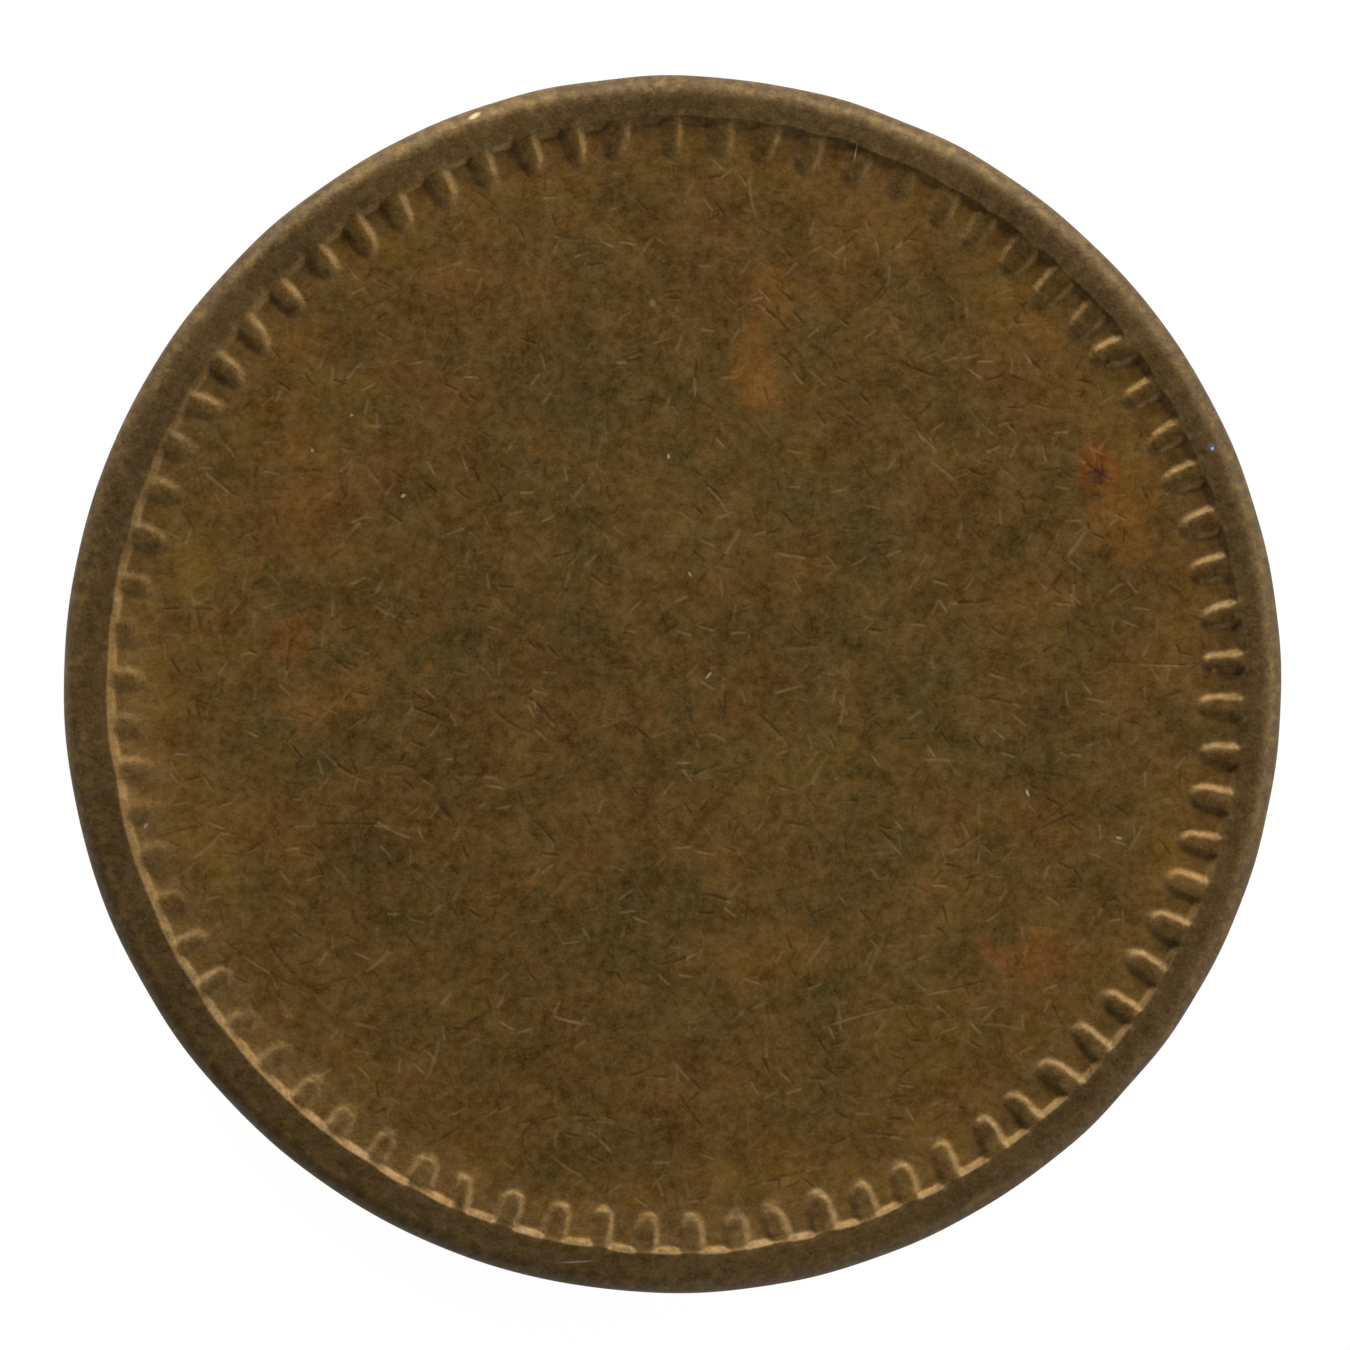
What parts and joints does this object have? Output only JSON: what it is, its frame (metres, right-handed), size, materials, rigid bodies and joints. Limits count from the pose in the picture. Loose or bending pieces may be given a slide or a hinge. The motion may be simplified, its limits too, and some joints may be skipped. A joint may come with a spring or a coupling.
{
  "type": "transit token",
  "caption": "Round struck metal fare token with raised rims and denticle borders around blank faces.",
  "frame": {"origin": "centre of the token's outline in the plane it rests on, which touches the crest of the lower rim", "axes": "+Z is the token's axis and points up out of the obverse; +X is the direction in which the dies met the blank off its centre"},
  "size_m": [0.023, 0.023, 0.0016],
  "materials": {
    "token_brass": "struck, worn smooth and tarnished dark brown"
  },
  "bodies": {
    "root": {"token": "token_brass"}
  },
  "joints": []
}
